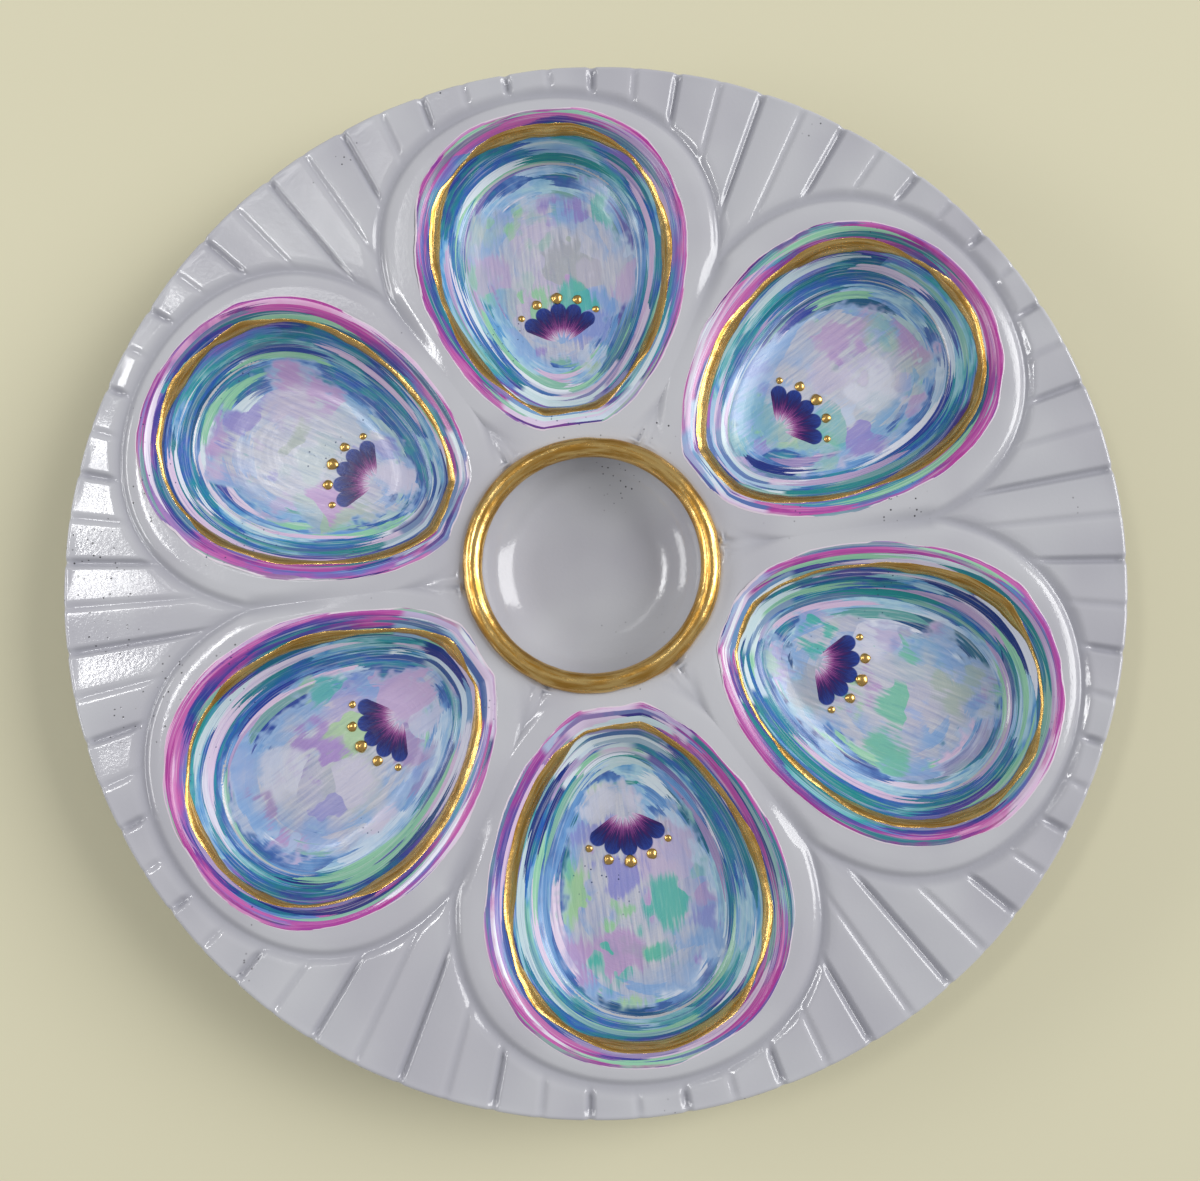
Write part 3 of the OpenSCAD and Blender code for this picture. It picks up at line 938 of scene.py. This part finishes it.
values = add_node(strokes, "SeparateColor", {"Color": cells.outputs["Color"]}).outputs
for value, title in zip(values, ("First", "Second", "Third")):
    strokes.links.new(value, strokes_out[title])


def add_strokes(tree, stroke, along, across, ragged):
    inputs = {"Stroke": stroke, "Along": along, "Across": across, "Ragged": ragged}
    made = add_group(tree, strokes, inputs)
    return made["First"], made["Second"], made["Third"]


# %% [markdown]
# The glaze is a glossy lavender grey. It gathers in grooves and flutes, and there it is
# painted a little darker, partly for the thicker glaze and partly as painted shade in the
# hollows; it is a little lighter here and there. Under a lamp its skin is not a mirror: it
# has the slight waves of orange peel, and pin holes, whose pits are painted dark as shade.
# The foot's flat is bare, because a glazed foot would stick to the kiln shelf.

# %% Glaze and bare foot
GLAZE = srgb(168, 167, 173)
GLAZE_POOL_AND_SHADE = srgb(136, 136, 146)
GLAZE_THIN = srgb(177, 177, 181)
PIT_SHADE = srgb(58, 57, 60)
BARE_H = 0.25 * MM

glaze, tree, shader = new_material("lavender_glaze")
place = add_node(tree, "TexCoord").outputs["Object"]
glaze_pool_and_shade = add_node(tree, "Attribute", attribute_name="glaze_pool_and_shade").outputs["Fac"]
cloud = add_range(tree, add_noise(tree, place, 30), 0.35, 0.65)
tint = add_mix(tree, cloud, GLAZE, GLAZE_THIN)
# Grooves and flutes are painted darker: partly the thicker glaze that pools there, partly painted
# shade.
tint = add_mix(tree, add_math(tree, "MULTIPLY", glaze_pool_and_shade, 0.6), tint, GLAZE_POOL_AND_SHADE)
pin = add_group(tree, pits, {"Vector": place, "Spacing": 620})["Mask"]
# Pin holes are painted dark: painted shade in their tiny pits.
tint = add_mix(tree, pin, tint, PIT_SHADE)
tree.links.new(tint, shader.inputs["Base Color"])
rough = add_range(tree, add_noise(tree, place, 90, 3), 0.3, 0.7, 0.1, 0.16)
tree.links.new(rough, shader.inputs["Roughness"])
peel = add_math(tree, "MULTIPLY", add_noise(tree, place, 1100, 3), 1.1)
skin = add_math(tree, "ADD", add_noise(tree, place, 150, 1), peel)
skin = add_math(tree, "SUBTRACT", skin, pin)
bump = add_node(tree, "Bump", {"Height": skin, "Strength": 0.26, "Distance": 0.1 * MM})
tree.links.new(bump.outputs["Normal"], shader.inputs["Normal"])

bisque, tree, shader = new_material("bare_foot")
place = add_node(tree, "TexCoord").outputs["Object"]
grain = add_noise(tree, place, 900, 4, 0.7)
clay = add_mix(tree, grain, srgb(206, 198, 182), srgb(232, 226, 213))
tree.links.new(clay, shader.inputs["Base Color"])
tree.links.new(add_range(tree, grain, 0.2, 0.8, 0.7, 0.9), shader.inputs["Roughness"])
bump = add_node(tree, "Bump", {"Height": grain, "Strength": 0.5, "Distance": 0.1 * MM})
tree.links.new(bump.outputs["Normal"], shader.inputs["Normal"])


# %% Tell the glaze where it gathers and where shade is painted
def pool_and_shade_depth(vertex):
    """How deep a groove or flute is at a point of the face, and none below or in a well."""
    point = vertex.co
    r, angle = point.xy.length, local_angle(math.atan2(point.y, point.x))
    on_face = SEAT_R <= r <= PLATE_R - EDGE_ROUND / 2 and point.z >= FACE_H - 2 * GROOVE_D
    if vertex.normal.z < 0 or not on_face:
        return 0
    return min(1, dips(r * math.cos(angle), r * math.sin(angle)) / DEEP_D)


# How deep each point of the face lies in a groove or flute: the darker glaze there is partly pooling,
# partly painted shade.
glaze_pool_and_shade = plate.data.attributes.new("glaze_pool_and_shade", "FLOAT", "POINT")
for vertex in plate.data.vertices:
    glaze_pool_and_shade.data[vertex.index].value = pool_and_shade_depth(vertex)
plate.data.materials.append(glaze)
plate.data.materials.append(bisque)
bare = 0
for face in plate.data.polygons:
    if face.center.z < BARE_H:
        face.material_index = 1
        bare += 1
print("bare faces:", bare)

# %% [markdown]
# A fan of five petals stands at the hinge end of each well, inside the arc of gilt dots. It
# could be cut out as thin sheets, but it is only a layer of colour. So the enamel draws it,
# in coordinates that every lining carries. They are turned to the nearest petal first, and
# one rounded drop then does for all five.

# %% Fan of petals
PETAL_MID = 0.6
PETAL_HALF = 0.42
PETAL_WIDTH = 0.27
FAN_HALF = 2.5 * DOT_STEP

fan, fan_in, fan_out = new_group(
    "petal_fan", [("Vector", "Vector")], [("Mask", "Float"), ("Along", "Float"), ("Across", "Float")]
)
parts = add_node(fan, "SeparateXYZ", {"Vector": fan_in["Vector"]}).outputs
angle = add_math(fan, "ARCTAN2", parts["Y"], parts["X"])
squares = [add_math(fan, "MULTIPLY", parts[axis], parts[axis]) for axis in "XY"]
reach = add_math(fan, "SQRT", add_math(fan, "ADD", squares[0], squares[1]))
petal_number = add_math(fan, "ROUND", add_math(fan, "DIVIDE", angle, DOT_STEP))
nearest = add_math(fan, "MULTIPLY", petal_number, DOT_STEP)
off = add_math(fan, "SUBTRACT", angle, nearest)
along = add_math(fan, "MULTIPLY", reach, add_math(fan, "COSINE", off))
across = add_math(fan, "MULTIPLY", reach, add_math(fan, "SINE", off))
end = add_math(fan, "DIVIDE", add_math(fan, "SUBTRACT", along, PETAL_MID), PETAL_HALF)
width = add_math(fan, "MAXIMUM", add_math(fan, "MULTIPLY", along, PETAL_WIDTH), 0.02)
side = add_math(fan, "DIVIDE", across, width)
level = add_math(fan, "ADD", add_math(fan, "MULTIPLY", end, end), add_math(fan, "MULTIPLY", side, side))
petal = add_range(fan, level, 0.85, 1.0, 1, 0)
within = add_math(fan, "LESS_THAN", add_math(fan, "ABSOLUTE", angle), FAN_HALF)
fan.links.new(add_math(fan, "MULTIPLY", petal, within), fan_out["Mask"])
fan.links.new(along, fan_out["Along"])
fan.links.new(side, fan_out["Across"])

# %% [markdown]
# The enamel is brushed in layers of strokes that follow the well, from a pale, cloudy floor
# through sky blue, teal and cobalt to violet and magenta at the edge. Two colour ramps on
# the share of the way up the well say what lies where, and each stroke takes one colour
# from them, a little above or below its own place. Broad pale strokes come first, darker
# ones over them, and a few thin ones of white, cobalt and teal last. Round, soft dabs of
# teal, mint and lilac cloud the floor. It could be painted by hand on a texture, but then
# six wells would need six pictures.

# %% Layers of brush strokes
enamel, tree, shader = new_material("brushed_enamel")
place = add_node(tree, "TexCoord").outputs["Object"]
stroke = add_node(tree, "Attribute", attribute_name="stroke").outputs["Vector"]
motif = add_node(tree, "Attribute", attribute_name="motif").outputs["Vector"]
up = add_node(tree, "SeparateXYZ", {"Vector": stroke}).outputs["Z"]
drift = add_hairs(tree, stroke, 1.1, 3)
streaks = add_hairs(tree, stroke, 1.1, 30)
fine = add_hairs(tree, stroke, 1.6, 90)
slow = add_range(tree, drift, 0.3, 0.7, -0.11, 0.11)
band_at = add_math(tree, "ADD", up, slow)


def around_band(value, reach):
    """The place on the ramps of one stroke: its own height, and up to reach more or less."""
    return add_math(tree, "ADD", band_at, add_range(tree, value, 0, 1, -reach, reach))


broad, _, broad_light = add_strokes(tree, stroke, 1.2, 7, 0.6)
pale_tone = add_ramp(tree, around_band(broad, 0.09), [
    (0.40, srgb(182, 198, 214)),
    (0.50, srgb(128, 166, 202)),
    (0.57, srgb(160, 194, 206)),
    (0.64, srgb(72, 136, 188)),
    (0.71, srgb(136, 184, 192)),
    (0.78, srgb(44, 146, 150)),
    (0.85, srgb(86, 116, 180)),
    (0.92, srgb(132, 92, 168)),
    (0.98, srgb(180, 88, 156)),
])
middle, middle_cover, middle_light = add_strokes(tree, stroke, 1.5, 12, 0.6)
deep_tone = add_ramp(tree, around_band(middle, 0.07), [
    (0.44, srgb(92, 138, 190)),
    (0.51, srgb(26, 70, 146)),
    (0.58, srgb(16, 128, 140)),
    (0.66, srgb(26, 74, 162)),
    (0.74, srgb(12, 116, 120)),
    (0.81, srgb(20, 42, 132)),
    (0.88, srgb(84, 54, 140)),
    (0.94, srgb(146, 46, 132)),
    (0.99, srgb(168, 66, 146)),
])
accent, accent_cover, accent_light = add_strokes(tree, stroke, 1.3, 20, 0.8)
accent_tone = add_ramp(tree, accent, [
    (0.05, srgb(14, 28, 108)),
    (0.25, srgb(16, 134, 128)),
    (0.4, srgb(212, 220, 226)),
    (0.56, srgb(204, 176, 202)),
    (0.7, srgb(20, 46, 140)),
    (0.9, srgb(136, 190, 154)),
])
on_wall = add_range(tree, around_band(broad_light, 0.05), 0.4, 0.47)
cover = add_range(tree, middle_cover, 0.33, 0.37, 0, 0.92)
colour = add_mix(tree, add_math(tree, "MULTIPLY", cover, on_wall), pale_tone, deep_tone)
cover = add_math(tree, "MULTIPLY", add_range(tree, accent_cover, 0.58, 0.62, 0, 0.95), on_wall)
colour = add_mix(tree, cover, colour, accent_tone)

# %% Dabs on the floor
brushed = add_node(tree, "Mapping", {"Vector": motif, "Rotation": (0, 0, 0.6), "Scale": (1.1, 14, 3)})
bristles = add_noise(tree, brushed.outputs["Vector"], 1, 4, 0.6)
ragged = add_range(tree, bristles, 0.3, 0.7, -0.1, 0.1)
wobble = add_node(tree, "TexNoise", {"Vector": motif, "Scale": 2.0, "Detail": 1.0}).outputs["Color"]
wobble = add_node(tree, "VectorMath", {0: wobble, "Scale": 0.3}, operation="SCALE").outputs["Vector"]
dab_place = add_node(tree, "VectorMath", {0: motif, 1: wobble}, operation="ADD").outputs["Vector"]
ground = add_mix(tree, add_range(tree, bristles, 0.3, 0.7), srgb(158, 164, 184), srgb(184, 184, 192))
blue_at = add_range(tree, around_band(middle_light, 0.08), 0.26, 0.46, 0, 0.75)
ground = add_mix(tree, blue_at, ground, srgb(104, 150, 200))
for scale, shift in ((0.7, 0.0), (0.95, 5.0)):
    layer = {"Vector": dab_place, "Location": (shift, shift, 0), "Scale": (scale, scale, 5.3)}
    moved = add_node(tree, "Mapping", layer)
    dabs = add_node(tree, "TexVoronoi", {"Vector": moved.outputs["Vector"], "Scale": 1.0})
    pick = add_node(tree, "SeparateColor", {"Color": dabs.outputs["Color"]}).outputs
    tone = add_ramp(tree, pick["Red"], [
        (0.08, srgb(62, 166, 152)),
        (0.22, srgb(156, 194, 134)),
        (0.38, srgb(150, 116, 178)),
        (0.54, srgb(92, 138, 198)),
        (0.7, srgb(198, 204, 212)),
        (0.88, srgb(170, 136, 182)),
    ])
    dab_edge = add_math(tree, "ADD", dabs.outputs["Distance"], ragged)
    soft = add_range(tree, dab_edge, 0.42, 0.62, 1, 0)
    soft = add_math(tree, "MULTIPLY", soft, add_range(tree, pick["Green"], 0.1, 0.8, 0.1, 0.85))
    ground = add_mix(tree, soft, ground, tone)
colour = add_mix(tree, on_wall, ground, colour)
hair = add_node(tree, "Mix", {"Factor": on_wall, "A": bristles, "B": fine}).outputs["Result"]
strength = add_range(tree, on_wall, 0, 1, 0.1, 0.36)
light_hair = add_math(tree, "MULTIPLY", add_range(tree, hair, 0.52, 0.68), strength)
colour = add_mix(tree, light_hair, colour, srgb(210, 211, 216))
dark_hair = add_math(tree, "MULTIPLY", add_range(tree, hair, 0.34, 0.46, 1, 0), strength)
colour = add_mix(tree, dark_hair, colour, srgb(40, 74, 140))

# %% Pale strokes at the hinge end
parts = add_node(tree, "SeparateXYZ", {"Vector": stroke}).outputs
well_number = add_node(tree, "SeparateXYZ", {"Vector": motif}).outputs["Z"]
outward = add_math(tree, "SUBTRACT", parts["X"], add_math(tree, "MULTIPLY", well_number, STROKE_STEP))
outward = add_math(tree, "ADD", outward, add_range(tree, accent, 0, 1, -0.12, 0.12))
hinge = add_range(tree, outward, -0.88, -0.84, 0.95, 0)
hinge = add_math(tree, "MULTIPLY", hinge, add_range(tree, up, 0.52, 0.6))
bar = add_ramp(tree, accent_light, [
    (0.08, srgb(18, 40, 118)),
    (0.2, srgb(112, 156, 192)),
    (0.36, srgb(212, 220, 224)),
    (0.6, srgb(188, 208, 210)),
    (0.74, srgb(24, 76, 146)),
    (0.9, srgb(200, 184, 206)),
])
colour = add_mix(tree, hinge, colour, bar)

# %% Edge of the paint, petals and pin holes
from_edge = add_node(tree, "Attribute", attribute_name="edge").outputs["Fac"]
edge_at = add_math(tree, "ADD", from_edge, add_range(tree, accent_light, 0, 1, -0.9, 0.9))
edge_tone = add_ramp(tree, accent, [
    (0.1, srgb(150, 34, 128)),
    (0.3, srgb(92, 44, 138)),
    (0.45, srgb(176, 60, 146)),
    (0.6, srgb(206, 154, 190)),
    (0.75, srgb(64, 74, 158)),
    (0.9, srgb(166, 44, 136)),
])
edge_cover = add_range(tree, outward, -0.7, 0.3, 0.3, 0.9)
edge_cover = add_math(tree, "MULTIPLY", add_range(tree, edge_at, 1.4, 1.6, 1, 0), edge_cover)
patches = add_range(tree, add_hairs(tree, stroke, 2.2, 1), 0.4, 0.58, 0.2, 1)
edge_cover = add_math(tree, "MULTIPLY", edge_cover, patches)
colour = add_mix(tree, edge_cover, colour, edge_tone)
halo_at = add_math(tree, "ADD", from_edge, add_range(tree, streaks, 0.3, 0.7, -0.25, 0.25))
colour = add_mix(tree, add_range(tree, halo_at, 0.2, 0.3, 1, 0), colour, srgb(200, 188, 198))

petals = add_group(tree, fan, {"Vector": motif})
hair_place = add_node(
    tree, "CombineXYZ", {"X": petals["Along"], "Y": add_math(tree, "MULTIPLY", petals["Across"], 5)}
)
petal_hair = add_noise(tree, hair_place.outputs["Vector"], 2.2, 3)
ruffle = add_range(tree, petal_hair, 0.3, 0.7, -0.16, 0.16)
petal_at = add_math(tree, "ADD", petals["Along"], ruffle)
petal_tone = add_ramp(tree, petal_at, [
    (0.2, srgb(196, 186, 204)),
    (0.36, srgb(150, 70, 140)),
    (0.52, srgb(60, 14, 84)),
    (0.72, srgb(18, 18, 84)),
    (0.98, srgb(24, 52, 130)),
])
petal_mask = add_math(tree, "MULTIPLY", petals["Mask"], add_math(tree, "LESS_THAN", up, 0.5))
colour = add_mix(tree, petal_mask, colour, petal_tone)
pin = add_group(tree, pits, {"Vector": place, "Spacing": 700})["Mask"]
# Pin holes are painted dark blue: painted shade in their tiny pits.
colour = add_mix(tree, pin, colour, srgb(38, 56, 96))
tree.links.new(colour, shader.inputs["Base Color"])
tree.links.new(add_range(tree, streaks, 0.3, 0.7, 0.2, 0.34), shader.inputs["Roughness"])
ridges = add_math(tree, "SUBTRACT", add_math(tree, "ADD", hair, streaks), pin)
bump = add_node(tree, "Bump", {"Height": ridges, "Strength": 0.3, "Distance": 0.12 * MM})
tree.links.new(bump.outputs["Normal"], shader.inputs["Normal"])

# %% [markdown]
# Gilding is a metal: all of its colour is in what it mirrors. It stays soft and uneven,
# because the brush drags it in hairs and small lumps. The line in a well is brushed along
# its way, and the bead round the cup is a little smoother.

# %% Gold
GOLD = srgb(234, 198, 126)
GOLD_DEEP = srgb(182, 134, 58)


def gold_material(name, along, across, relief):
    material, tree, shader = new_material(name)
    place = add_node(tree, "TexCoord").outputs["Object"]
    lumps = add_noise(tree, place, 260, 4, 0.6)
    stroke = add_node(tree, "Attribute", attribute_name="stroke").outputs["Vector"]
    lines = add_hairs(tree, stroke, along, across)
    tone = add_mix(tree, add_range(tree, lines, 0.35, 0.65), GOLD_DEEP, GOLD)
    tree.links.new(tone, shader.inputs["Base Color"])
    shader.inputs["Metallic"].default_value = 1
    tree.links.new(add_range(tree, lines, 0.3, 0.7, 0.34, 0.18), shader.inputs["Roughness"])
    height = add_math(tree, "ADD", lines, add_math(tree, "MULTIPLY", lumps, 1.2))
    bump = add_node(tree, "Bump", {"Height": height, "Strength": relief, "Distance": 0.25 * MM})
    tree.links.new(bump.outputs["Normal"], shader.inputs["Normal"])
    return material


brushed_gold = gold_material("brushed_gilding", 3, 9, 0.5)
bead_gold = gold_material("bead_gilding", 3, 16, 0.45)
for lining in linings:
    lining.data.materials.append(enamel)
for gilding in gildings:
    gilding.data.materials.append(brushed_gold)
bead.data.materials.append(bead_gold)

# %% [markdown]
# The pieces ride on the plate's one body, and each says which measured node it stands for
# and which finish of the record it takes.

# %% Seat the pieces
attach(plate, "root")
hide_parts("plate_body")
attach(bead, "root")
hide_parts("cup_rim_gilding")
for number in range(1, WELLS + 1):
    lining, gilding = linings[number - 1], gildings[number - 1]
    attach(lining, "root")
    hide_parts("well_lining_%d" % number)
    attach(gilding, "root")
    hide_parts("well_gilding_%d" % number)

# %% [markdown]
# The stage: a plain, pale, warm floor, a large soft lamp at the right, a wide low one at the
# left and an even grey sky. Two small lamps, high at the left, are what the glaze mirrors
# as bright panes on the rim and in the cup. Together they light a level surface so that its
# colour renders about as it is written.

# %% Floor, lamps and sky
FLOOR_COLOUR = srgb(200, 195, 168)
FLOOR_SIZE = 3
SKY_COLOUR = (0.9, 0.92, 0.95, 1)
SKY_STRENGTH = 0.42

select_none()
bpy.ops.mesh.primitive_plane_add(size=FLOOR_SIZE, location=(0, 0, 0))
floor = bpy.context.object
floor.name = "floor"
floor_material, tree, shader = new_material("pale_floor")
shader.inputs["Base Color"].default_value = FLOOR_COLOUR
shader.inputs["Roughness"].default_value = 0.9
shader.inputs["Specular IOR Level"].default_value = 0.2
floor.data.materials.append(floor_material)
floor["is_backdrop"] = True


def add_lamp(name, at, size, power):
    """A soft panel of light that faces the plate, size in metres and power in watts."""
    data = bpy.data.lights.new(name, "AREA")
    data.shape = "RECTANGLE"
    data.size, data.size_y = size
    data.energy = power
    lamp = bpy.data.objects.new(name, data)
    lamp.location = at
    lamp.rotation_euler = (-Vector(at)).to_track_quat("-Z", "Y").to_euler()
    bpy.context.collection.objects.link(lamp)


add_lamp("window_left", (-0.48, 0.18, 1.0), (0.26, 0.1), 1.7)
add_lamp("window_far", (-0.27, 0.4, 1.0), (0.16, 0.08), 0.2)
add_lamp("window_right", (1.92, 0.48, 1.36), (1.45, 1.45), 56)
add_lamp("window_low", (-1.1, 0.05, 0.5), (0.7, 0.3), 5)
sky = bpy.data.worlds.new("sky")
sky.use_nodes = True
sky.node_tree.nodes["Background"].inputs["Color"].default_value = SKY_COLOUR
sky.node_tree.nodes["Background"].inputs["Strength"].default_value = SKY_STRENGTH
bpy.context.scene.world = sky
bpy.context.scene.view_settings.view_transform = "Standard"

# %% [markdown]
# Last, the size of the dressed plate is printed.

# %% Print the dressed plate's size
low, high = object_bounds()
print("dressed box in mm:", [[round(x / MM, 1) for x in corner] for corner in (low, high)])
